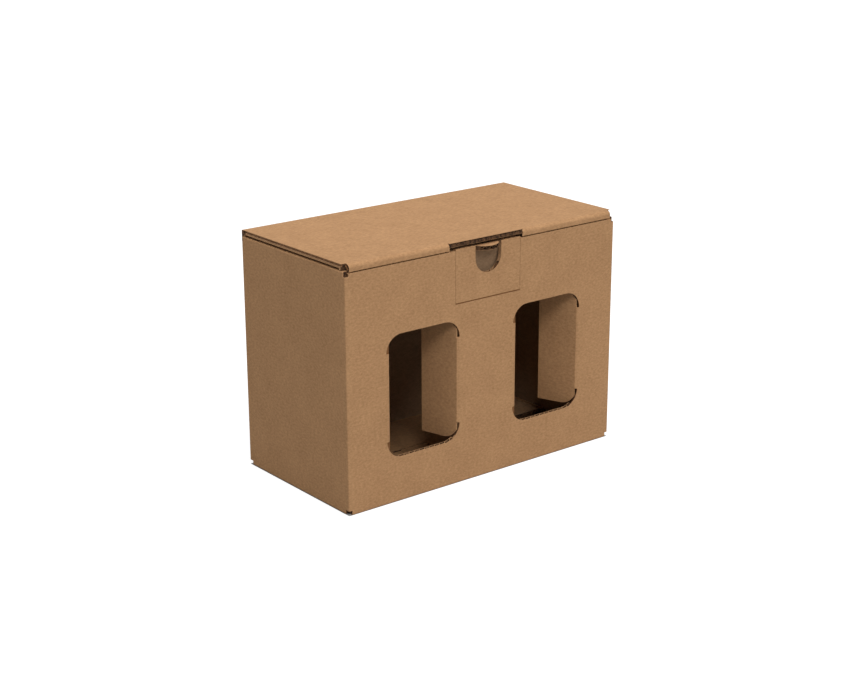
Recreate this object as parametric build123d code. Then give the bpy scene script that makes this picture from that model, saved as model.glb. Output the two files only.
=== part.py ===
from build123d import *
import os
from math import ceil, cos, floor, radians, tan

# Outside size of the closed carton, in millimetres
WIDTH = 200.0
DEPTH = 101.9
HEIGHT = 145.3

# The corrugated board and its folds
BOARD = 2.6
FOLD = 0.8
RELIEF = 2.8
RELIEF_WIDTH = 2.4
CUT = 0.2

# Hollows between the board's two liners, where a cut edge shows its flutes
LINER = 0.35
FLUTE_PITCH = 3.7
FLUTE_PAPER = 0.35
FLUTE_ROOT = 1.3
FLUTE_CROWN = 0.35
FLUTE_DEPTH = 3.0

# Heights of the panels that the lid closes over
FRONT_TOP = 140.3
DUST_TOP = 141.3

# Lid, with the flap that tucks in behind the front panel
LID_INSET = 0.3
LID_FOLD = 2.4
LID_FRONT = 0.2
LID_LIP = 140.75
TUCK_SET_BACK = 2.95
TUCK_TILT = 7.5
TUCK_BOTTOM = 121.4
TUCK_INSET = 5.0
TUCK_CORNER = 14.0
LIP_END = 3.0
LIP_END_DEPTH = 3.6
LIP_HOLLOW = 1.2
SIDE_GROOVE = 1.0
SIDE_GROOVE_LOW = 143.8
SIDE_GROOVE_TOP = 145.0
HINGE_CORNER = 0.8
HINGE_GAP = 0.05

# Slot in the lid's front edge, and the half-round ear bent forward out of it
SLOT_LEFT = -27.5
SLOT_RIGHT = 26.7
SLOT_FACE = 0.35
SLOT_SILL = 138.9
EAR_CENTRE = 0.85
EAR_RADIUS = 9.94
EAR_REACH = 3.6
EAR_TOP = 140.8
EAR_NECK = 18.4

# Lock tab in the front panel, and the thumb notch in the tab
TAB_LEFT = -23.3
TAB_RIGHT = 25.0
TAB_CREASE = 109.4
TAB_TOP = 141.3
NOTCH_CENTRE = 0.85
NOTCH_RADIUS = 9.65
NOTCH_BOTTOM = 124.2

# Windows in the front panel, each closed by two flaps that fold inwards
WINDOWS = {"left": (-71.5, -21.4, 75.0), "right": (21.5, 71.9, 70.0)}
WINDOW_BOTTOM = 27.0
WINDOW_TOP = 100.0
WINDOW_CORNER = 10.5
CREASE_OVERRUN = 1.2
KNUCKLE = 0.9
KNUCKLE_GAP = 0.05
FLAP_FOLD_LIMIT = 100.0
CRUSHED = 2.2

# Dust flaps under the lid
DUST_LENGTH = 58.0
DUST_SHOULDER = 4.5
DUST_FRONT = 9.0
DUST_BACK = 4.0
DUST_TAPER = 5.0
DUST_END = 1.8
DUST_CORNER = 8.0

# Locking bottom: two long flaps that hook at mid depth, and a short flap over each
SEAM_STEP = 6.5
SEAM_GAP = 0.3
SHORT_FLAP = 42.0
SHORT_FLAP_RISE = 10.0
SHORT_FLAP_END = 3.4
LONG_FLAP_END = 9.5
CORNER_GAP = 28.0
CORNER_GAP_NEAR = 12.0
CORNER_GAP_FAR = 3.2
HOOK_WIDTH = 6.0
HOOK_DEPTH = 1.6
HOOK_PLACE = 20.0

# Glued seam at the right back corner
GLUE_FLAP = 32.0
GLUE_FLAP_END = 8.0
GLUE_FLAP_TAPER = 15.0

FRONT = -(DEPTH - EAR_REACH) / 2
BACK = FRONT + DEPTH
RIGHT = WIDTH / 2
LEFT = -RIGHT
MIDDLE = FRONT + DEPTH / 2
INNER = FRONT + BOARD
LID_UNDER = HEIGHT - BOARD
CREASE_LOW = WINDOW_BOTTOM + WINDOW_CORNER
CREASE_HIGH = WINDOW_TOP - WINDOW_CORNER


def block(x0, x1, y0, y1, z0, z1):
    """A straight block between two opposite corners."""
    return Pos(x0, y0, z0) * Box(x1 - x0, y1 - y0, z1 - z0, align=(Align.MIN, Align.MIN, Align.MIN))


def outline(*points):
    """A flat face with straight sides."""
    return make_face(Polyline(*points, close=True))


def along_x(section, x0, x1):
    """Runs a section drawn in y and z from x0 to x1."""
    return extrude(Plane.YZ.offset(x0) * section, amount=x1 - x0)


def along_y(section, y0, y1):
    """Runs a section drawn in x and z from y0 to y1."""
    return extrude(Plane.XZ.offset(-y1) * section, amount=y1 - y0)


def board_section(path, radius):
    """Cut section of a folded strip: path is its outer side, with the board on the path's left."""
    outer = [Vector(*p) for p in path]
    runs = [(b - a).normalized() for a, b in zip(outer, outer[1:])]
    lefts = [Vector(-run.Y, run.X) for run in runs]
    inner = [outer[0] + lefts[0] * BOARD]
    for place, before, after in zip(outer[1:-1], lefts, lefts[1:]):
        inner.append(place + (before + after) * (BOARD / (1 + before.dot(after))))
    inner.append(outer[-1] + lefts[-1] * BOARD)
    face = outline(*outer, *reversed(inner))
    bends = [v for v in face.vertices() if any((p - v.center()).length < 0.01 for p in outer[1:-1])]
    return fillet(bends, radius)


def hollow(place, turned):
    """Section of one flute hollow, with the board's outer face along the first axis."""
    root = BOARD - LINER if turned else LINER
    crown = LINER + FLUTE_PAPER if turned else BOARD - LINER - FLUTE_PAPER
    return outline(
        (place - FLUTE_ROOT, root), (place + FLUTE_ROOT, root),
        (place + FLUTE_CROWN, crown), (place - FLUTE_CROWN, crown),
    )


def flute_row(start, end):
    """Sections of the flute hollows between two ends of a cut edge, on alternate sides."""
    half = FLUTE_PITCH / 2
    first = ceil((start + FLUTE_ROOT) / half)
    last = floor((end - FLUTE_ROOT) / half)
    return [hollow(n * half, n % 2 == 1) for n in range(first, last + 1)]


def upright_flutes(x0, x1, z0, z1):
    """Flute hollows of the front panel's board, in a cut edge that runs along x."""
    return [extrude(Pos(0, FRONT, z0) * section, amount=z1 - z0) for section in flute_row(x0, x1)]


def half_turn(shape):
    """The same shape turned half round the middle of the carton."""
    return Pos(0, MIDDLE, 0) * Rot(0, 0, 180) * Pos(0, -MIDDLE, 0) * shape


# Carton body
def walls():
    """Four walls folded from one strip, with the last wall's raw edge over the glued seam."""
    seam = BACK - BOARD - CUT
    ring_path = [(RIGHT - CUT, BACK), (LEFT, BACK), (LEFT, FRONT), (RIGHT, FRONT), (RIGHT, seam)]
    ring = board_section(ring_path, FOLD)
    return extrude(Pos(0, 0, RELIEF) * ring, amount=DUST_TOP - 2 * RELIEF)


def glue_flap():
    """Narrow flap folded in from the right wall and glued to the back wall's inside."""
    path = [(RIGHT, BACK - DEPTH / 4), (RIGHT, BACK - BOARD), (RIGHT - GLUE_FLAP, BACK - BOARD)]
    low = GLUE_FLAP_END
    high = FRONT_TOP - GLUE_FLAP_END
    flap = extrude(Pos(0, 0, low) * board_section(path, FOLD), amount=high - low)
    taper = GLUE_FLAP * tan(radians(GLUE_FLAP_TAPER))
    side = outline(
        (RIGHT, low), (RIGHT - BOARD, low), (RIGHT - GLUE_FLAP, low + taper),
        (RIGHT - GLUE_FLAP, high - taper), (RIGHT - BOARD, high), (RIGHT, high),
    )
    return flap & along_y(side, MIDDLE, BACK)


def long_flap_wall(top):
    """Front wall section from its top edge round the bottom fold to the seam at mid depth."""
    path = [(FRONT, top), (FRONT, 0), (MIDDLE + SEAM_STEP, 0)]
    return along_x(board_section(path, FOLD), LEFT + RELIEF_WIDTH, RIGHT - RELIEF_WIDTH)


def long_flap_plan():
    """Plan of a long bottom flap: hooked seam edge, one corner cut back, ends clear of the short flaps."""
    near = INNER - 0.2
    left = LEFT + RELIEF_WIDTH
    right = RIGHT - RELIEF_WIDTH
    return outline(
        (left, FRONT), (right, FRONT), (right, near), (RIGHT - LONG_FLAP_END, near + 1.5),
        (RIGHT - LONG_FLAP_END, MIDDLE - CORNER_GAP_NEAR), (RIGHT - CORNER_GAP, MIDDLE - CORNER_GAP_NEAR),
        (RIGHT - CORNER_GAP - 6, MIDDLE - SEAM_STEP - SEAM_GAP / 2),
        (-SEAM_GAP / 2, MIDDLE - SEAM_STEP - SEAM_GAP / 2),
        (-SEAM_GAP / 2, MIDDLE + SEAM_STEP - SEAM_GAP / 2),
        (-HOOK_PLACE, MIDDLE + SEAM_STEP - SEAM_GAP / 2),
        (-HOOK_PLACE, MIDDLE + SEAM_STEP - HOOK_DEPTH),
        (-HOOK_PLACE - HOOK_WIDTH, MIDDLE + SEAM_STEP - HOOK_DEPTH),
        (-HOOK_PLACE - HOOK_WIDTH, MIDDLE + SEAM_STEP - SEAM_GAP / 2),
        (LEFT + CORNER_GAP + 6, MIDDLE + SEAM_STEP - SEAM_GAP / 2),
        (LEFT + CORNER_GAP, MIDDLE - CORNER_GAP_FAR), (LEFT + LONG_FLAP_END, MIDDLE - CORNER_GAP_FAR),
        (LEFT + LONG_FLAP_END, near + 1.5), (left, near),
    )


def long_flap():
    """Front bottom flap with its fold, cut to its plan."""
    return long_flap_wall(DUST_TOP - RELIEF) & extrude(long_flap_plan(), amount=DUST_TOP)


def side_section():
    """Left wall section: dust flap, top fold, wall, bottom fold and the short flap that climbs over."""
    path = [
        (LEFT + DUST_LENGTH, DUST_TOP), (LEFT, DUST_TOP), (LEFT, 0),
        (LEFT + SHORT_FLAP_RISE, BOARD), (LEFT + SHORT_FLAP, BOARD),
    ]
    return board_section(path, FOLD)


def dust_plan():
    """Plan of the left dust flap: shouldered at the front for the tuck flap, and tapered."""
    tip = LEFT + DUST_LENGTH
    shoulder = LEFT + DUST_SHOULDER
    flap = outline(
        (LEFT, FRONT + DUST_END), (shoulder, FRONT + DUST_END), (shoulder, FRONT + DUST_FRONT),
        (tip, FRONT + DUST_FRONT + DUST_TAPER), (tip, BACK - DUST_BACK - DUST_TAPER),
        (shoulder, BACK - DUST_BACK), (shoulder, BACK - DUST_END), (LEFT, BACK - DUST_END),
    )
    free_corners = [v for v in flap.vertices() if v.X > tip - 1]
    return fillet(free_corners, DUST_CORNER)


def dust_flutes():
    """Flute hollows in the left dust flap's free edge."""
    tip = LEFT + DUST_LENGTH
    corner = DUST_TAPER + DUST_CORNER
    row = flute_row(FRONT + DUST_FRONT + corner, BACK - DUST_BACK - corner)
    return [along_x(Pos(0, DUST_TOP - BOARD) * section, tip - FLUTE_DEPTH, tip + 1) for section in row]


def short_flap_plan():
    """Plan of the left short bottom flap, which covers the front half only."""
    tip = LEFT + SHORT_FLAP
    near = FRONT + SHORT_FLAP_END
    far = MIDDLE - 3
    return outline(
        (LEFT, near), (LEFT + BOARD, near), (LEFT + SHORT_FLAP_RISE, near + 1),
        (tip, INNER + 6), (tip, far - 10), (tip - 10, far), (LEFT, far),
    )


def side_wall(bottom_plan):
    """Left wall with its dust flap, and a short bottom flap of the given plan."""
    strip = along_y(side_section(), FRONT + 1, BACK - 1)
    upper = strip & extrude(Pos(0, 0, DUST_TOP - RELIEF) * dust_plan(), amount=RELIEF)
    lower = strip & extrude(bottom_plan, amount=2 * BOARD + 1)
    return upper - dust_flutes() + lower


def bottom_fold():
    """The rest of the left wall's bottom fold, beside its short flap."""
    near = FRONT + SHORT_FLAP_END
    far = BACK - SHORT_FLAP_END
    return along_y(side_section(), near, far) & block(LEFT, LEFT + BOARD, near, far, 0, RELIEF + 1)


def window_outline(left, right):
    """A window's cut line: round corners that run a little past the two creases."""
    width = right - left + 2 * CREASE_OVERRUN
    height = WINDOW_TOP - WINDOW_BOTTOM
    place = Pos((left + right) / 2, (WINDOW_TOP + WINDOW_BOTTOM) / 2)
    return place * RectangleRounded(width, height, WINDOW_CORNER)


def between_heights(left, right, low, high):
    """An upright rectangle in the plane of the front wall."""
    return outline((left, low), (right, low), (right, high), (left, high))


def window_hole(left, right):
    """Opening of one window: its cut line, closed off at the creases between the corners."""
    over = 2 * CREASE_OVERRUN
    beside_left = between_heights(left - over, left, CREASE_LOW, CREASE_HIGH)
    beside_right = between_heights(right, right + over, CREASE_LOW, CREASE_HIGH)
    return window_outline(left, right) - beside_left - beside_right


def crease_groove(crease, side):
    """Groove that leaves a window flap room to fold: side is 1 at a left crease and -1 at a right one."""
    pivot = FRONT + KNUCKLE
    spread = (BOARD - KNUCKLE) * tan(radians(FLAP_FOLD_LIMIT / 2))
    wedge = outline((crease, pivot), (crease, INNER), (crease - side * spread, INNER))
    socket = Pos(crease, pivot) * Circle(KNUCKLE + KNUCKLE_GAP)
    clear = WINDOW_CORNER * 3 / 4
    mitre = extrude(Pos(0, 0, CREASE_LOW - clear) * wedge, amount=CREASE_HIGH - CREASE_LOW + 2 * clear)
    return mitre + extrude(Pos(0, 0, CREASE_LOW) * socket, amount=CREASE_HIGH - CREASE_LOW)


def crushed_corners(left, right):
    """Thinned inner side of the board behind a window's round corners, where the flaps swing past."""
    ring = offset(window_outline(left, right), amount=CRUSHED)
    near = CRUSHED + CREASE_OVERRUN
    ends = [
        between_heights(crease - near, crease + near, low, high)
        for crease in (left, right)
        for low, high in ((0, CREASE_LOW), (CREASE_HIGH, HEIGHT))
    ]
    return [along_y(ring & end, FRONT + KNUCKLE, INNER + 0.1) for end in ends]


def window_flutes(left, right, low, high):
    """Flute hollows in the straight part and the nearer arc of a window's top or bottom edge."""
    reach = WINDOW_CORNER / 3 - CREASE_OVERRUN
    return upright_flutes(left + reach, right - reach, low, high)


def rim_flutes():
    """Flute hollows in the front panel's top edge, beside the lock tab."""
    low = FRONT_TOP - FLUTE_DEPTH
    left = upright_flutes(LEFT + BOARD, TAB_LEFT - CUT, low, HEIGHT)
    return left + upright_flutes(TAB_RIGHT + CUT, RIGHT - BOARD, low, HEIGHT)


def seam_groove():
    """Hollow along the back wall's raw edge, which was cut between two flutes."""
    end = RIGHT - CUT
    high = DUST_TOP - RELIEF
    return block(end - SIDE_GROOVE, end + 1, BACK - BOARD + LINER, BACK - 3 * LINER, RELIEF, high)


def tab_hole():
    """Opening in the front panel that the lock tab fills."""
    gap = CUT / 2
    return block(TAB_LEFT - gap, TAB_RIGHT + gap, FRONT - 1, INNER + 0.1, TAB_CREASE - gap, HEIGHT)


def back_rim():
    """Top of the back wall, mitred where it meets the lid."""
    section = outline((BACK - BOARD, RELIEF), (BACK, RELIEF), (BACK, HEIGHT), (BACK - BOARD, HEIGHT))
    section = fillet([v for v in section.vertices() if v.X > BACK - 1 and v.Y > HEIGHT - 1], HINGE_CORNER)
    shift = HINGE_GAP * 2 ** 0.5
    inside = BACK - BOARD - 1
    lid_side = outline((inside, LID_UNDER - 1 - shift), (BACK + 1, HEIGHT + 1 - shift), (inside, HEIGHT + 1))
    return along_x(section - lid_side, LEFT + LID_INSET, RIGHT - LID_INSET) & block(
        LEFT, RIGHT, BACK - BOARD, BACK, DUST_TOP - RELIEF, HEIGHT
    )


def carton():
    """Front, back and side walls with every flap that stays shut, as one folded sheet."""
    front_rim = block(LEFT + RELIEF_WIDTH, RIGHT - RELIEF_WIDTH, FRONT, INNER, DUST_TOP - RELIEF, FRONT_TOP)
    left_side = side_wall(short_flap_plan())
    right_upper = mirror(left_side & block(LEFT, 0, FRONT, BACK, HEIGHT / 2, HEIGHT), Plane.YZ)
    right_lower = half_turn(left_side & block(LEFT, 0, FRONT, BACK, 0, HEIGHT / 2))
    fold = bottom_fold()
    body = walls() + front_rim + back_rim() + glue_flap()
    body += long_flap() + half_turn(long_flap())
    body += left_side + right_upper + right_lower + fold + half_turn(fold)
    for left, right, angle in WINDOWS.values():
        body -= along_y(window_hole(left, right), FRONT - 1, INNER + 0.1)
        body -= crease_groove(left, 1)
        body -= crease_groove(right, -1)
        body -= crushed_corners(left, right)
        body -= window_flutes(left, right, WINDOW_BOTTOM - FLUTE_DEPTH, WINDOW_BOTTOM + WINDOW_CORNER / 2)
        body -= window_flutes(left, right, WINDOW_TOP - WINDOW_CORNER / 2, WINDOW_TOP + FLUTE_DEPTH)
    return body - rim_flutes() - seam_groove() - tab_hole()


# Lid
def corner_at(face, y, z):
    """The corner of a section that lies at a place."""
    return [v for v in face.vertices() if (v.center() - Vector(y, z)).length < 0.05]


def lid():
    """Lid panel with its front lip, slot, tucked flap and pull ear."""
    panel = along_x(lid_panel_section(), LEFT + LID_INSET, RIGHT - LID_INSET)
    front = along_x(tuck_section(), LEFT + LID_INSET, RIGHT - LID_INSET) & tuck_front()
    slot = block(SLOT_LEFT, SLOT_RIGHT, FRONT - 1, FRONT + 12, SLOT_SILL, LID_UNDER)
    square = block(SLOT_LEFT, SLOT_RIGHT, FRONT + SLOT_FACE, FRONT + 12, LID_UNDER, HEIGHT)
    overhang = block(SLOT_LEFT, SLOT_RIGHT, FRONT - 1, FRONT + SLOT_FACE, SLOT_SILL, HEIGHT + 1)
    hollow = FRONT + LIP_HOLLOW
    lip_end = block(LEFT, LEFT + TUCK_INSET + CUT, hollow, FRONT + 12, LID_LIP - 1, DUST_TOP + 0.3)
    front -= tuck_flutes()
    ends = [lip_end, *lip_notch()]
    body = panel + front - slot - overhang - ends - [mirror(end, Plane.YZ) for end in ends]
    return body + (square - slot_flutes()) + ear()


def lid_panel_section():
    """Flat of the lid, mitred at its hinge and rounded over its front lip."""
    lip = FRONT + LID_FRONT
    shoulder = FRONT + TUCK_SET_BACK + BOARD
    section = outline(
        (BACK, LID_UNDER), (BACK, HEIGHT), (lip, HEIGHT),
        (lip, LID_LIP), (shoulder, LID_LIP), (shoulder, LID_UNDER),
    )
    section = fillet(corner_at(section, BACK, HEIGHT), HINGE_CORNER)
    section = fillet(corner_at(section, lip, HEIGHT), LID_FOLD)
    section = fillet(corner_at(section, lip, LID_LIP), 0.5)
    shift = HINGE_GAP * 2 ** 0.5
    low = LID_UNDER - 1
    wall_side = outline((BACK - BOARD - 1, low + shift), (BACK + 1, HEIGHT + 1 + shift), (BACK + 1, low))
    return section - wall_side


def lip_notch():
    """Cuts at the lid's left edge: groove between its flutes, notch at the lip's end, hollow in that end."""
    back = FRONT + LIP_END_DEPTH
    edge = LEFT + LID_INSET
    groove = block(LEFT, edge + SIDE_GROOVE, FRONT, BACK - BOARD, SIDE_GROOVE_LOW, SIDE_GROOVE_TOP)
    notch = block(LEFT - 1, LEFT + LIP_END, FRONT - 1, back, LID_LIP - 1, HEIGHT + 1)
    face = FRONT + LID_FRONT + LINER
    top = HEIGHT - LINER
    core = BOARD - 3 * LINER
    bend = LID_FOLD - LINER
    section = outline(
        (face, LID_LIP + LINER), (face, top - bend), (face + bend, top), (back, top),
        (back, top - core), (face + bend, top - core), (face + core, top - bend - LINER),
        (face + core, LID_LIP + LINER),
    )
    hollow_end = along_x(section, LEFT + LIP_END - 1, LEFT + LIP_END + SIDE_GROOVE)
    return [groove, notch, hollow_end]


def slot_flutes():
    """Flute hollows in the lid's edge over the slot."""
    end = FRONT + SLOT_FACE + FLUTE_DEPTH
    row = flute_row(SLOT_LEFT, SLOT_RIGHT)
    return [along_y(Pos(0, LID_UNDER) * section, FRONT, end) for section in row]


def tuck_flutes():
    """Flute hollows in the straight part of the tucked flap's free edge."""
    foot = FRONT + TUCK_SET_BACK + (LID_LIP - TUCK_BOTTOM) * tan(radians(TUCK_TILT))
    corner = TUCK_INSET + TUCK_CORNER
    place = Pos(0, foot, TUCK_BOTTOM) * Rot(TUCK_TILT, 0, 0) * Pos(0, 0, -1)
    row = flute_row(LEFT + corner, RIGHT - corner)
    return [place * extrude(section, amount=FLUTE_DEPTH + 1) for section in row]


def tuck_section():
    """Section of the tucked flap, which leans in behind the front panel."""
    face = FRONT + TUCK_SET_BACK
    lean = tan(radians(TUCK_TILT))
    foot = face + (LID_LIP - TUCK_BOTTOM) * lean
    thick = BOARD / cos(radians(TUCK_TILT))
    top = LID_UNDER + 0.5
    rise = (top - LID_LIP) * lean
    return outline(
        (face - rise, top), (foot, TUCK_BOTTOM), (foot + thick, TUCK_BOTTOM), (face + thick - rise, top),
    )


def tuck_front():
    """Front view of the tucked flap, with its two free corners rounded."""
    left = LEFT + TUCK_INSET
    right = RIGHT - TUCK_INSET
    view = outline((left, TUCK_BOTTOM - 1), (right, TUCK_BOTTOM - 1), (right, HEIGHT), (left, HEIGHT))
    view = fillet([v for v in view.vertices() if v.Y < TUCK_BOTTOM], TUCK_CORNER)
    return along_y(view, FRONT, FRONT + 20)


def ear():
    """Half-round ear of the tucked flap, bent forward through the thumb notch."""
    centre = FRONT - EAR_REACH + EAR_RADIUS
    low = EAR_TOP - BOARD
    root = FRONT + TUCK_SET_BACK + BOARD
    disc = extrude(Pos(EAR_CENTRE, centre, low) * Circle(EAR_RADIUS), amount=BOARD)
    plate = disc & block(LEFT, RIGHT, FRONT - EAR_REACH - 1, root, low, EAR_TOP)
    corner = Vector(EAR_CENTRE, root, EAR_TOP)
    bend = [e for e in plate.edges() if (e.center() - corner).length < 0.1]
    neck = along_x(tuck_section(), EAR_CENTRE - EAR_NECK / 2, EAR_CENTRE + EAR_NECK / 2)
    neck = neck & block(LEFT, RIGHT, FRONT, root + 5, SLOT_SILL - 2, low + 1)
    end = FRONT - EAR_REACH + FLUTE_DEPTH
    row = flute_row(EAR_CENTRE - EAR_NECK / 2 + FLUTE_ROOT, EAR_CENTRE + EAR_NECK / 2 - FLUTE_ROOT)
    flutes = [along_y(Pos(0, low) * section, FRONT - EAR_REACH - 1, end) for section in row]
    return fillet(bend, LID_FOLD) - flutes + neck


# Lock tab
def lock_tab():
    """Tab cut in the front panel, with a round-bottomed thumb notch in its top edge."""
    tab = block(TAB_LEFT + CUT / 2, TAB_RIGHT - CUT / 2, FRONT, INNER, TAB_CREASE + CUT / 2, TAB_TOP)
    middle = NOTCH_BOTTOM + NOTCH_RADIUS
    round_end = Pos(NOTCH_CENTRE, middle) * Circle(NOTCH_RADIUS)
    throat = outline(
        (NOTCH_CENTRE - NOTCH_RADIUS, middle), (NOTCH_CENTRE + NOTCH_RADIUS, middle),
        (NOTCH_CENTRE + NOTCH_RADIUS, HEIGHT), (NOTCH_CENTRE - NOTCH_RADIUS, HEIGHT),
    )
    reach = NOTCH_RADIUS * 2 / 3
    low = NOTCH_BOTTOM - FLUTE_DEPTH
    flutes = upright_flutes(NOTCH_CENTRE - reach, NOTCH_CENTRE + reach, low, middle)
    low = TAB_TOP - FLUTE_DEPTH
    flutes += upright_flutes(TAB_LEFT, NOTCH_CENTRE - NOTCH_RADIUS, low, HEIGHT)
    flutes += upright_flutes(NOTCH_CENTRE + NOTCH_RADIUS, TAB_RIGHT, low, HEIGHT)
    return tab - along_y(round_end + throat, FRONT - 1, INNER + 1) - flutes


# Window flaps
def window_flap(left, right, angle, side):
    """Half of a window's board, creased at one side and folded in: side is 1 at the left crease."""
    crease = left if side > 0 else right
    middle = (left + right) / 2
    pivot = FRONT + KNUCKLE
    half = between_heights(min(crease, middle - CUT * side), max(crease, middle - CUT * side), 0, HEIGHT)
    shape = offset(window_outline(left, right), amount=-CUT) & half
    spread = (BOARD - KNUCKLE) * tan(radians(FLAP_FOLD_LIMIT / 2))
    wedge = outline((crease, pivot), (crease, INNER), (crease + side * spread, INNER))
    knuckle = Pos(crease, pivot, CREASE_LOW + CUT) * Circle(KNUCKLE)
    ends = min(crease, middle), max(crease, middle)
    flutes = window_flutes(*ends, WINDOW_BOTTOM - 1, WINDOW_BOTTOM + WINDOW_CORNER / 2)
    flutes += window_flutes(*ends, WINDOW_TOP - WINDOW_CORNER / 2, WINDOW_TOP + 1)
    flat = along_y(shape, FRONT, INNER) - extrude(wedge, amount=HEIGHT) - flutes
    flat += extrude(knuckle, amount=CREASE_HIGH - CREASE_LOW - 2 * CUT)
    return Pos(crease, pivot, 0) * Rot(0, 0, side * angle) * Pos(-crease, -pivot, 0) * flat


nodes = {"carton": carton(), "lid": lid(), "lock_tab": lock_tab()}
for name, (left, right, angle) in WINDOWS.items():
    nodes[f"{name}_window_left_flap"] = window_flap(left, right, angle, 1)
    nodes[f"{name}_window_right_flap"] = window_flap(left, right, angle, -1)

os.makedirs("parts", exist_ok=True)
for name, shape in nodes.items():
    export_step(shape, f"parts/{name}.step")
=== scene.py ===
from math import cos, pi, radians, sin

import bmesh
import bpy
from mathutils import Matrix, Vector

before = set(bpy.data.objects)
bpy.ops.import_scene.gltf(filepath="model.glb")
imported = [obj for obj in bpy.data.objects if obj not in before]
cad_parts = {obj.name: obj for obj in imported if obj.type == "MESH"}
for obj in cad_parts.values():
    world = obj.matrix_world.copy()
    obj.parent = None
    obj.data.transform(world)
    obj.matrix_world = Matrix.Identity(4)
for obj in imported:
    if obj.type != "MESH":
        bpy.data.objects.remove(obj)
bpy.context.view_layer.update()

# Carton walls
# Front, back and side walls with the dust, bottom and glue flaps, folded from one sheet of corrugated kraft board.
# The outer paper is plain brown liner: matt, speckled with fibres, faintly ribbed over the flutes. The inner paper is
# greyer, and painted darker: partly its own tone, partly painted shade for the dim inside of the box. Die-cut edges
# are
# painted dark: partly the fluted core's own paper, partly painted shade in the flute openings. The windows' sills face
# up to the light and are painted pale, as painted light.
flute_pitch = 0.0037
upright_grain = (0.6, 0.6, 1.0)
paper_bump_strength = 0.35
paper_bump_height = 0.0001
rib_share = 0.12
mask_softness = 20000
half_turned = 0.5
liner_light = (0.575, 0.326, 0.160, 1.0)
liner_dark = (0.350, 0.187, 0.086, 1.0)
# Inner paper: partly its own greyer tone, partly painted shade for the dim inside of the box.
inside_light_and_shade = (0.395, 0.250, 0.145, 1.0)
inside_dark_and_shade = (0.245, 0.150, 0.083, 1.0)
# Cut-edge core: partly the fluted core's own paper, partly painted shade in the flute openings.
shaded_core_light = (0.150, 0.074, 0.034, 1.0)
shaded_core_dark = (0.030, 0.014, 0.007, 1.0)
# Sills: a paler copy of the core, painted light where the sills face up to the light.
lit_sill_light = (0.50, 0.285, 0.140, 1.0)
lit_sill_dark = (0.39, 0.218, 0.106, 1.0)
# Painted shade: a thin brown line in the tab's crease groove, and in the shaded slits at the ends of the flaps'
# creases.
painted_crease_shade = (0.240, 0.112, 0.044, 1.0)


def add_node(tree, kind, name, **settings):
    node = tree.nodes.new(kind)
    node.name = name
    node.label = name
    for key, value in settings.items():
        setattr(node, key, value)
    return node


def add_math(tree, operation, name, *values, clamp=False):
    node = add_node(tree, "ShaderNodeMath", name, operation=operation, use_clamp=clamp)
    for socket, value in zip(node.inputs, values):
        if isinstance(value, (int, float)):
            socket.default_value = value
        else:
            tree.links.new(value, socket)
    return node.outputs[0]


def add_noise(tree, name, position, scale, detail):
    noise = add_node(tree, "ShaderNodeTexNoise", name)
    noise.inputs["Scale"].default_value = scale
    noise.inputs["Detail"].default_value = detail
    tree.links.new(position, noise.inputs["Vector"])
    return noise


def add_range(tree, name, value, low, high):
    """Stretches a value so that low becomes 0 and high becomes 1."""
    node = add_node(tree, "ShaderNodeMapRange", name)
    node.inputs["From Min"].default_value = low
    node.inputs["From Max"].default_value = high
    tree.links.new(value, node.inputs["Value"])
    return node.outputs["Result"]


def add_blend(tree, name, factor, first, second):
    """Blends two colours that come out of other nodes."""
    blend = add_node(tree, "ShaderNodeMix", name, data_type="RGBA")
    tree.links.new(factor, blend.inputs["Factor"])
    tree.links.new(first, blend.inputs["A"])
    tree.links.new(second, blend.inputs["B"])
    return blend.outputs["Result"]


def start_group(name, inputs, outputs):
    """A node group with its sockets, given as pairs of a label and a socket kind."""
    tree = bpy.data.node_groups.new(name, "ShaderNodeTree")
    for label, kind in inputs:
        tree.interface.new_socket(label, in_out="INPUT", socket_type="NodeSocket" + kind)
    for label, kind in outputs:
        tree.interface.new_socket(label, in_out="OUTPUT", socket_type="NodeSocket" + kind)
    entry = add_node(tree, "NodeGroupInput", "inputs")
    return tree, entry, add_node(tree, "NodeGroupOutput", "outputs")


def make_liner_group():
    """Kraft paper: fine fibre speckle, longer along the paper's grain, and soft clouds of shade."""
    tree, inputs, outputs = start_group(
        "kraft_liner",
        (("Position", "Vector"), ("Grain", "Vector"), ("Light", "Color"), ("Dark", "Color")),
        (("Colour", "Color"), ("Height", "Float"), ("Roughness", "Float")),
    )
    link = tree.links.new
    drawn = add_node(tree, "ShaderNodeVectorMath", "drawn", operation="MULTIPLY")
    link(inputs.outputs["Position"], drawn.inputs[0])
    link(inputs.outputs["Grain"], drawn.inputs[1])
    fibres = add_noise(tree, "fibres", drawn.outputs[0], scale=850, detail=4)
    fibres.inputs["Roughness"].default_value = 0.62
    clouds = add_noise(tree, "clouds", inputs.outputs["Position"], scale=75, detail=3)
    flecks = add_noise(tree, "flecks", drawn.outputs[0], scale=2600, detail=1)
    soft = add_math(tree, "MULTIPLY", "soft", clouds.outputs["Fac"], 0.28)
    speckle = add_math(tree, "MULTIPLY_ADD", "speckle", fibres.outputs["Fac"], 1.0, soft)
    fine = add_math(tree, "MULTIPLY_ADD", "fine", flecks.outputs["Fac"], 0.22, speckle)
    ramp = add_range(tree, "ramp", fine, low=0.45, high=1.05)
    paint = add_blend(tree, "paint", ramp, inputs.outputs["Dark"], inputs.outputs["Light"])
    rough = add_node(tree, "ShaderNodeMapRange", "rough")
    rough.inputs["To Min"].default_value = 0.80
    rough.inputs["To Max"].default_value = 0.95
    link(fibres.outputs["Fac"], rough.inputs["Value"])
    link(paint, outputs.inputs["Colour"])
    link(fine, outputs.inputs["Height"])
    link(rough.outputs["Result"], outputs.inputs["Roughness"])
    return tree


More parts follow.
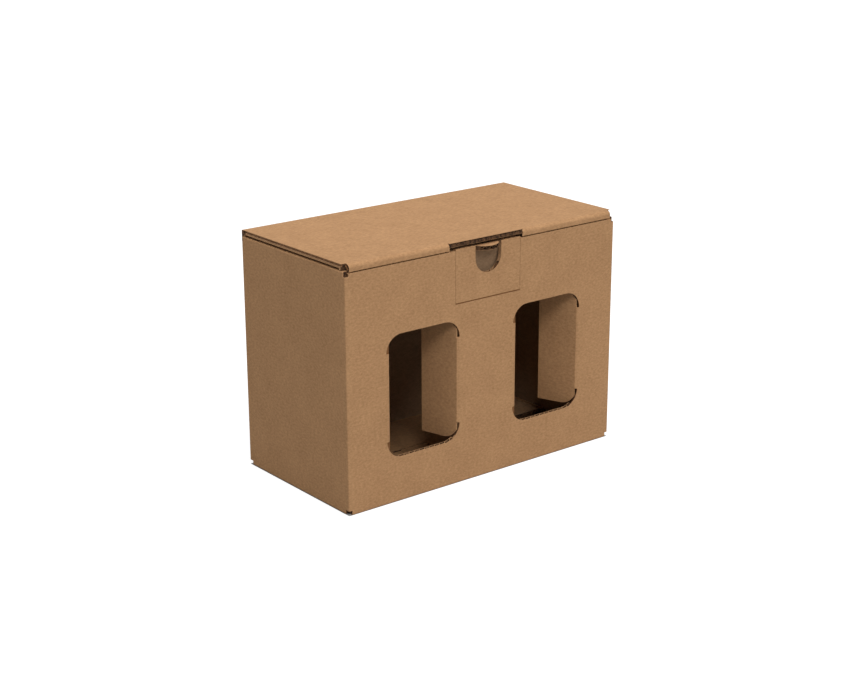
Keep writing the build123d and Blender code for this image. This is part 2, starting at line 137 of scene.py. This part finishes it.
def make_rib_group():
    """Washboard ribs that the flutes press into the paper: across x, or across y on the side walls."""
    tree, inputs, outputs = start_group(
        "flute_ribs", (("Position", "Vector"), ("Normal", "Vector")), (("Height", "Float"),),
    )
    link = tree.links.new
    place = add_node(tree, "ShaderNodeSeparateXYZ", "place")
    facing = add_node(tree, "ShaderNodeSeparateXYZ", "facing")
    link(inputs.outputs["Position"], place.inputs[0])
    link(inputs.outputs["Normal"], facing.inputs[0])
    sideways = add_math(tree, "ABSOLUTE", "sideways", facing.outputs["X"])
    is_side = add_math(tree, "GREATER_THAN", "is_side", sideways, half_turned)
    along = add_node(tree, "ShaderNodeMix", "along")
    link(is_side, along.inputs["Factor"])
    link(place.outputs["X"], along.inputs["A"])
    link(place.outputs["Y"], along.inputs["B"])
    turns = add_math(tree, "MULTIPLY", "turns", along.outputs["Result"], 2 * pi / flute_pitch)
    link(add_math(tree, "SINE", "wave", turns), outputs.inputs["Height"])
    return tree


def make_zone_group():
    """Mask of a box-shaped zone, kept to faces that stand on edge to the board's thickness."""
    tree, inputs, outputs = start_group(
        "cut_zone",
        [(label, "Vector") for label in ("Position", "Normal", "Low", "High", "Thickness")],
        (("Mask", "Float"),),
    )
    link = tree.links.new
    above = add_node(tree, "ShaderNodeVectorMath", "above", operation="SUBTRACT")
    below = add_node(tree, "ShaderNodeVectorMath", "below", operation="SUBTRACT")
    nearest = add_node(tree, "ShaderNodeVectorMath", "nearest", operation="MINIMUM")
    link(inputs.outputs["Position"], above.inputs[0])
    link(inputs.outputs["Low"], above.inputs[1])
    link(inputs.outputs["High"], below.inputs[0])
    link(inputs.outputs["Position"], below.inputs[1])
    link(above.outputs[0], nearest.inputs[0])
    link(below.outputs[0], nearest.inputs[1])
    depth = add_node(tree, "ShaderNodeSeparateXYZ", "depth")
    link(nearest.outputs[0], depth.inputs[0])
    flat = add_math(tree, "MINIMUM", "flat", depth.outputs["X"], depth.outputs["Y"])
    inside = add_math(tree, "MINIMUM", "inside", flat, depth.outputs["Z"])
    soft = add_math(tree, "MULTIPLY_ADD", "soft", inside, mask_softness, 0.5, clamp=True)
    facing = add_node(tree, "ShaderNodeVectorMath", "facing", operation="DOT_PRODUCT")
    link(inputs.outputs["Normal"], facing.inputs[0])
    link(inputs.outputs["Thickness"], facing.inputs[1])
    turned = add_math(tree, "ABSOLUTE", "turned", facing.outputs["Value"])
    on_edge = add_math(tree, "LESS_THAN", "on_edge", turned, half_turned)
    link(add_math(tree, "MULTIPLY", "mask", soft, on_edge), outputs.inputs["Mask"])
    return tree


def make_core_group():
    """Torn, mottled paper of a cut edge. The flutes themselves are in the CAD shape."""
    tree, inputs, outputs = start_group(
        "fluted_core", (("Position", "Vector"), ("Light", "Color"), ("Dark", "Color")), (("Colour", "Color"),),
    )
    torn = add_noise(tree, "torn", inputs.outputs["Position"], scale=620, detail=3)
    ramp = add_range(tree, "ramp", torn.outputs["Fac"], low=0.36, high=0.64)
    paint = add_blend(tree, "paint", ramp, inputs.outputs["Dark"], inputs.outputs["Light"])
    tree.links.new(paint, outputs.inputs["Colour"])
    return tree


liner_group = make_liner_group()
rib_group = make_rib_group()
zone_group = make_zone_group()
core_group = make_core_group()
across_x = (1, 0, 0)
across_y = (0, 1, 0)
across_z = (0, 0, 1)
any_way = (0, 0, 0)
box_centre = (0, 1.8, 0)


def paint_over(tree, name, base, tint, mask):
    """Lays a tint over the base colour where the mask is 1."""
    mix = add_node(tree, "ShaderNodeMix", name, data_type="RGBA")
    tree.links.new(mask, mix.inputs["Factor"])
    tree.links.new(base, mix.inputs["A"])
    if isinstance(tint, tuple):
        mix.inputs["B"].default_value = tint
    else:
        tree.links.new(tint, mix.inputs["B"])
    return mix.outputs["Result"]


def zone_mask(tree, name, place, normal, zones):
    """Joins zones given in millimetres as low corner, high corner and the board's thickness direction."""
    joined = None
    for count, (low, high, thickness) in enumerate(zones):
        zone = add_node(tree, "ShaderNodeGroup", f"{name}_{count}", node_tree=zone_group)
        tree.links.new(place, zone.inputs["Position"])
        tree.links.new(normal, zone.inputs["Normal"])
        zone.inputs["Low"].default_value = Vector(low) / 1000
        zone.inputs["High"].default_value = Vector(high) / 1000
        zone.inputs["Thickness"].default_value = thickness
        mask = zone.outputs["Mask"]
        joined = mask if joined is None else add_math(tree, "MAXIMUM", f"{name}_with_{count}", joined, mask)
    return joined


def mirrored_place(tree, place, centre):
    """Object position with x and y measured outwards from the box's middle."""
    centred = add_node(tree, "ShaderNodeVectorMath", "centred", operation="SUBTRACT")
    outward = add_node(tree, "ShaderNodeVectorMath", "outward", operation="ABSOLUTE")
    tree.links.new(place, centred.inputs[0])
    centred.inputs[1].default_value = Vector(centre) / 1000
    tree.links.new(centred.outputs[0], outward.inputs[0])
    return outward.outputs[0]


def add_paper(tree, name, place, grain, light, dark):
    """A liner group with its own colours."""
    paper = add_node(tree, "ShaderNodeGroup", name, node_tree=liner_group)
    paper.inputs["Grain"].default_value = grain
    paper.inputs["Light"].default_value = light
    paper.inputs["Dark"].default_value = dark
    tree.links.new(place, paper.inputs["Position"])
    return paper


def add_core(tree, name, place, light, dark):
    """A cut-edge group with its own colours."""
    edge = add_node(tree, "ShaderNodeGroup", name, node_tree=core_group)
    edge.inputs["Light"].default_value = light
    edge.inputs["Dark"].default_value = dark
    tree.links.new(place, edge.inputs["Position"])
    return edge


def dress(name, material):
    """Puts a material on a CAD node in place of its plain one."""
    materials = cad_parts[name].data.materials
    materials.clear()
    materials.append(material)


def start_board_material(name, grain):
    """Kraft board material before its cut edges are painted."""
    material = bpy.data.materials.new(name)
    material.use_nodes = True
    tree = material.node_tree
    link = tree.links.new
    shader = tree.nodes["Principled BSDF"]
    shader.inputs["Specular IOR Level"].default_value = 0.2
    place = add_node(tree, "ShaderNodeTexCoord", "place")
    liner = add_paper(tree, "liner", place.outputs["Object"], grain, liner_light, liner_dark)
    inside = add_paper(tree, "inside", place.outputs["Object"], grain, inside_light_and_shade, inside_dark_and_shade)
    # The core colours are partly painted shade in the flute openings.
    core = add_core(tree, "core", place.outputs["Object"], shaded_core_light, shaded_core_dark)
    ribs = add_node(tree, "ShaderNodeGroup", "ribs", node_tree=rib_group)
    bump = add_node(tree, "ShaderNodeBump", "bump")
    bump.inputs["Strength"].default_value = paper_bump_strength
    bump.inputs["Distance"].default_value = paper_bump_height
    link(place.outputs["Object"], ribs.inputs["Position"])
    link(place.outputs["Normal"], ribs.inputs["Normal"])
    relief = add_math(tree, "MULTIPLY_ADD", "relief", ribs.outputs["Height"], rib_share, liner.outputs["Height"])
    link(relief, bump.inputs["Height"])
    link(bump.outputs["Normal"], shader.inputs["Normal"])
    link(liner.outputs["Roughness"], shader.inputs["Roughness"])
    return material, tree, shader, place, liner, inside, core


wall_board = start_board_material("kraft_board_walls", upright_grain)
wall_material, tree, shader, place, liner, inside, core = wall_board
outward = mirrored_place(tree, place.outputs["Object"], box_centre)
cut_edges = zone_mask(tree, "cut", outward, place.outputs["Normal"], [
    ((-1, 48.65, 3), (96.9, 50.65, 139.9), any_way),
    ((-1, -1, 139.0), (97.2, 48.3, 141.0), any_way),
    ((95.4, 48.2, 138.4), (99.6, 49.8, 141.4), across_z),
    ((97.3, 48.65, 138.3), (99.7, 50.65, 140.0), across_y),
    ((-1, -1, 0.3), (96.9, 48.2, 4.9), across_z),
    ((97.3, 48.65, 0.3), (99.7, 50.65, 2.9), across_y),
    ((97.3, 47.3, 0.3), (99.7, 47.8, 2.9), across_x),
    ((60, 46.05, 3), (97, 48.05, 138), any_way),
    ((99.5, 48.65, 141.4), (99.9, 50.65, 145.0), across_y),
])
seam_edge = zone_mask(tree, "seam", place.outputs["Object"], place.outputs["Normal"], [
    ((98.9, 50.45, 2.9), (100.1, 52.45, 138.4), across_y),
])
# The wall's side of the tab's crease gets a thin line of painted shade.
tab_crease_shade = zone_mask(tree, "crease", place.outputs["Object"], place.outputs["Normal"], [
    ((-23.4, -49.3, 109.0), (25.1, -48.9, 109.5), any_way),
])
all_edges = add_math(tree, "MAXIMUM", "all_edges", cut_edges, seam_edge)
inner_faces = zone_mask(tree, "inner", outward, place.outputs["Normal"], [
    ((-1, -1, 5.2), (97.5, 48.45, 138.9), any_way),
    ((-1, -1, 0.2), (97.5, 48.45, 5.3), across_z),
])
# Inner faces take the inner paper, darkened partly as painted shade.
colour = paint_over(tree, "inner_paper", liner.outputs["Colour"], inside.outputs["Colour"], inner_faces)
colour = paint_over(tree, "edges", colour, core.outputs["Colour"], all_edges)
# The sills are painted pale, as painted light where they face up to the light.
lit_sill_core = add_core(tree, "lit_sill_core", place.outputs["Object"], lit_sill_light, lit_sill_dark)
lit_sills = zone_mask(tree, "sill", outward, place.outputs["Normal"], [
    ((15, 48.4, 26.3), (66, 50.8, 30), across_y),
])
colour = paint_over(tree, "lit_sills", colour, lit_sill_core.outputs["Colour"], lit_sills)
colour = paint_over(tree, "tab_crease_shade", colour, painted_crease_shade, tab_crease_shade)
tree.links.new(colour, shader.inputs["Base Color"])
dress("carton", wall_material)

# Lid
# The back wall's top panel, which folds over the box and ends in a front lip and a flap tucked behind the front wall.
# Same board as the walls, with its flutes running front to back. Its sides, lip ends and slot are die-cut. The flap
# behind the front wall takes the inner paper's tone on both faces; on its front face, which is outer paper, this is
# painted shade, as it stands in the dark.
lid_grain = (0.6, 1.0, 1.0)
side_light = (0.50, 0.29, 0.155, 1.0)
side_dark = (0.34, 0.19, 0.095, 1.0)
lid_board = start_board_material("kraft_board_lid", lid_grain)
lid_material, tree, shader, place, liner, inside, core = lid_board
outward = mirrored_place(tree, place.outputs["Object"], box_centre)
end_edges = zone_mask(tree, "ends", outward, place.outputs["Normal"], [
    ((96.9, 46.9, 140.0), (99.8, 51.2, 145.1), across_z),
])
side_edges = zone_mask(tree, "sides", outward, place.outputs["Normal"], [
    ((98.3, -1, 143.3), (99.9, 46.9, 145.05), any_way),
])
front_edges = zone_mask(tree, "front", place.outputs["Object"], place.outputs["Normal"], [
    ((-27.7, -49.2, 142.78), (26.9, -45.5, 145.15), any_way),
    ((-27.8, -49.2, 138.7), (-9.2, -46.2, 142.6), across_y),
    ((10.9, -49.2, 138.7), (27.0, -46.2, 142.6), across_y),
    ((-9.5, -53.2, 138.3), (11.2, -46.5, 140.6), any_way),
    ((-96, -46.3, 121), (96, -36, 142.5), across_y),
])
all_edges = add_math(tree, "MAXIMUM", "all_edges", end_edges, front_edges)
# The zone takes in the tucked flap's front face too, where the inner tone is painted shade.
inner_faces = zone_mask(tree, "inner", place.outputs["Object"], place.outputs["Normal"], [
    ((-99.5, -46.9, 120), (99.5, 50.3, 142.75), any_way),
])
side_core = add_core(tree, "side_core", place.outputs["Object"], side_light, side_dark)
colour = paint_over(tree, "inner_paper", liner.outputs["Colour"], inside.outputs["Colour"], inner_faces)
colour = paint_over(tree, "side_edges", colour, side_core.outputs["Colour"], side_edges)
colour = paint_over(tree, "edges", colour, core.outputs["Colour"], all_edges)
tree.links.new(colour, shader.inputs["Base Color"])
dress("lid", lid_material)

# Lock tab
# Tab cut in the front wall, hinged on a crease along its foot, with a round-bottomed thumb notch in its top.
# Same board as the walls. The crease is scored into the outer paper, with a thin brown line of painted shade along its
# groove.
slit_light = (0.47, 0.275, 0.142, 1.0)
slit_dark = (0.33, 0.190, 0.098, 1.0)


def add_slit_core(tree, place, normal, across_flutes):
    """Core colour on a cut edge: darker where the cut crosses the flutes, with painted shade in their openings, and
    paler where it runs along one.
    """
    slope = add_node(tree, "ShaderNodeSeparateXYZ", "slope")
    tree.links.new(normal, slope.inputs[0])
    steep = add_math(tree, "ABSOLUTE", "steep", slope.outputs["Z"])
    upright = add_math(tree, "LESS_THAN", "upright", steep, half_turned)
    slit = add_core(tree, "slit", place, slit_light, slit_dark)
    return paint_over(tree, "slit_edge", across_flutes, slit.outputs["Colour"], upright)


tab_board = start_board_material("kraft_board_tab", upright_grain)
tab_material, tree, shader, place, liner, inside, core = tab_board
tab_edges = zone_mask(tree, "cut", place.outputs["Object"], place.outputs["Normal"], [
    ((-24, -48.85, 109.6), (26, -46.85, 142), across_y),
])
tab_crease_shade = zone_mask(tree, "crease", place.outputs["Object"], place.outputs["Normal"], [
    ((-23.4, -49.3, 109.3), (25.1, -48.9, 109.8), any_way),
])
inner_faces = zone_mask(tree, "inner", place.outputs["Object"], place.outputs["Normal"], [
    ((-24, -46.7, 109), (26, -46.4, 142), any_way),
])
colour = paint_over(tree, "inner_paper", liner.outputs["Colour"], inside.outputs["Colour"], inner_faces)
edge_colour = add_slit_core(tree, place.outputs["Object"], place.outputs["Normal"], core.outputs["Colour"])
colour = paint_over(tree, "edges", colour, edge_colour, tab_edges)
# A thin line of painted shade along the crease groove.
colour = paint_over(tree, "tab_crease_shade", colour, painted_crease_shade, tab_crease_shade)
tree.links.new(colour, shader.inputs["Base Color"])
dress("lock_tab", tab_material)

# Window flaps
# Each window is slit down its middle into two flaps, which hinge on creases at its sides and stand folded inwards.
# Same board: round top and bottom edges painted dark, partly the fluted core and partly painted shade in the flute
# openings, and paler where the slit ran along a flute. Each crease ends in a thin brown line of painted shade, for the
# shaded slit where the window's corner was cut.
crease_line = -0.04825
crease_clear = 0.0016
crease_reach = 0.0022
lower_arc_top = 37.6
upper_arc_foot = 89.4
past_everything = 200
flap_creases = {
    "left_window_left_flap": (-71.5, 75),
    "left_window_right_flap": (-21.4, -75),
    "right_window_left_flap": (21.5, 70),
    "right_window_right_flap": (71.9, -70),
}
for name, (crease, angle) in flap_creases.items():
    flap_board = start_board_material(f"kraft_board_{name}", upright_grain)
    flap_material, tree, shader, place, liner, inside, core = flap_board
    swing = radians(angle)
    outer_side = (sin(swing), -cos(swing), 0)
    edges = zone_mask(tree, "edge", place.outputs["Object"], place.outputs["Normal"], [
        ((-past_everything, -past_everything, -1), (past_everything,) * 3, outer_side),
    ])
    level = add_node(tree, "ShaderNodeVectorMath", "level", operation="MULTIPLY")
    level.inputs[1].default_value = (1, 1, 0)
    tree.links.new(place.outputs["Object"], level.inputs[0])
    from_crease = add_node(tree, "ShaderNodeVectorMath", "from_crease", operation="DISTANCE")
    from_crease.inputs[1].default_value = (crease / 1000, crease_line, 0)
    tree.links.new(level.outputs[0], from_crease.inputs[0])
    clear = add_math(tree, "GREATER_THAN", "clear", from_crease.outputs["Value"], crease_clear)
    cut_edges = add_math(tree, "MULTIPLY", "cut_edges", edges, clear)
    # The painted line of shade is thin on the right-hand creases, and as deep as the fold on the left-hand ones.
    end_depth = -48.5 if angle < 0 else -47.5
    near = add_math(tree, "LESS_THAN", "near", from_crease.outputs["Value"], crease_reach)
    ends = zone_mask(tree, "end", place.outputs["Object"], place.outputs["Normal"], [
        ((-past_everything, -past_everything, -1), (past_everything, end_depth, lower_arc_top), any_way),
        ((-past_everything, -past_everything, upper_arc_foot), (past_everything, end_depth, past_everything), any_way),
    ])
    crease_end_shade = add_math(tree, "MULTIPLY", "crease_end_shade", ends, near)
    behind = add_node(tree, "ShaderNodeVectorMath", "behind", operation="DOT_PRODUCT")
    behind.inputs[1].default_value = outer_side
    tree.links.new(place.outputs["Normal"], behind.inputs[0])
    inner_face = add_math(tree, "LESS_THAN", "inner_face", behind.outputs["Value"], -half_turned)
    edge_colour = add_slit_core(tree, place.outputs["Object"], place.outputs["Normal"], core.outputs["Colour"])
    colour = paint_over(tree, "inner_paper", liner.outputs["Colour"], inside.outputs["Colour"], inner_face)
    colour = paint_over(tree, "edges", colour, edge_colour, cut_edges)
    # Painted shade at each crease end, for the shaded slit where the window's corner was cut.
    colour = paint_over(tree, "crease_end_shade", colour, painted_crease_shade, crease_end_shade)
    tree.links.new(colour, shader.inputs["Base Color"])
    dress(name, flap_material)

# Floor
# A plain pale surface that the box stands on. It looks white to the camera, except under the box, where the floor
# can be seen through the gaps in the bottom, and it keeps the box's soft shadow.
floor_reach = 6.0
floor_grey = 0.45
floor_glow = 0.75
floor_mesh = bpy.data.meshes.new("floor")
floor = bpy.data.objects.new("floor", floor_mesh)
plan = bmesh.new()
bmesh.ops.create_grid(plan, x_segments=1, y_segments=1, size=floor_reach)
plan.to_mesh(floor_mesh)
plan.free()
bpy.context.scene.collection.objects.link(floor)
floor_material = bpy.data.materials.new("pale_floor")
floor_material.use_nodes = True
tree = floor_material.node_tree
shader = tree.nodes["Principled BSDF"]
shader.inputs["Base Color"].default_value = (floor_grey, floor_grey, floor_grey, 1)
shader.inputs["Roughness"].default_value = 0.9
shader.inputs["Specular IOR Level"].default_value = 0.0
place = add_node(tree, "ShaderNodeTexCoord", "place")
under_box = zone_mask(tree, "under_box", place.outputs["Object"], place.outputs["Normal"], [
    ((-99.9, -49.1, -1), (99.9, 52.7, 1), any_way),
])
rays = add_node(tree, "ShaderNodeLightPath", "rays")
open_floor = add_math(tree, "SUBTRACT", "open_floor", 1.0, under_box)
shown = add_math(tree, "MULTIPLY", "shown", rays.outputs["Is Camera Ray"], open_floor)
glow = add_node(tree, "ShaderNodeEmission", "glow")
glow.inputs["Strength"].default_value = floor_glow
both = add_node(tree, "ShaderNodeAddShader", "both")
seen = add_node(tree, "ShaderNodeMixShader", "seen")
tree.links.new(shader.outputs[0], both.inputs[0])
tree.links.new(glow.outputs[0], both.inputs[1])
tree.links.new(shown, seen.inputs["Fac"])
tree.links.new(shader.outputs[0], seen.inputs[1])
tree.links.new(both.outputs[0], seen.inputs[2])
tree.links.new(seen.outputs[0], tree.nodes["Material Output"].inputs["Surface"])
floor_mesh.materials.append(floor_material)

# Light
# A pale room, a soft light almost straight above, one from the front, and a weak one from the front left that reaches
# the floor inside the windows. The room's background is white to the camera and brighter than the light it gives.
room_strength = 0.30
world = bpy.data.worlds.new("studio")
bpy.context.scene.world = world
world.use_nodes = True
tree = world.node_tree
room = tree.nodes["Background"]
room.inputs["Color"].default_value = (1, 1, 1, 1)
room.inputs["Strength"].default_value = room_strength
white = add_node(tree, "ShaderNodeBackground", "white")
white.inputs["Color"].default_value = (1, 1, 1, 1)
white.inputs["Strength"].default_value = 1.0
rays = add_node(tree, "ShaderNodeLightPath", "rays")
shown = add_math(tree, "MAXIMUM", "shown", rays.outputs["Is Camera Ray"], rays.outputs["Is Glossy Ray"])
shown_too = add_math(tree, "MAXIMUM", "shown_too", shown, rays.outputs["Is Transmission Ray"])
pick = add_node(tree, "ShaderNodeMixShader", "pick")
tree.links.new(shown_too, pick.inputs["Fac"])
tree.links.new(room.outputs[0], pick.inputs[1])
tree.links.new(white.outputs[0], pick.inputs[2])
tree.links.new(pick.outputs[0], tree.nodes["World Output"].inputs["Surface"])


def add_sun(name, towards, strength, spread):
    """A sun that shines from the given direction, with its spread in degrees."""
    lamp = bpy.data.lights.new(name, "SUN")
    lamp.energy = strength * pi
    lamp.angle = radians(spread)
    holder = bpy.data.objects.new(name, lamp)
    holder.rotation_euler = Vector(towards).to_track_quat("Z", "Y").to_euler()
    bpy.context.scene.collection.objects.link(holder)


add_sun("overhead", (0.1, -0.1, 1.0), 0.42, 60)
add_sun("front", (0.0, -0.69, 0.72), 0.33, 30)
add_sun("left", (-0.7, -1.0, 1.11), 0.16, 14)

# Camera
# Stands at the photograph's angle: to the left of the front, and looking slightly down.
camera_place = Vector((-0.60548, -0.75911, 0.38263))
camera_yaw = radians(-38.44)
camera_pitch = radians(18.12)
camera_roll = radians(-0.198)
camera_lens = 70.8
camera_data = bpy.data.cameras.new("camera")
camera_data.lens = camera_lens
camera = bpy.data.objects.new("camera", camera_data)
turn = Matrix.Rotation(camera_yaw, 4, "Z") @ Matrix.Rotation(pi / 2 - camera_pitch, 4, "X")
turn = turn @ Matrix.Rotation(camera_roll, 4, "Z")
camera.matrix_world = Matrix.Translation(camera_place) @ turn
bpy.context.scene.collection.objects.link(camera)
bpy.context.scene.camera = camera
bpy.context.scene.view_settings.view_transform = "Standard"
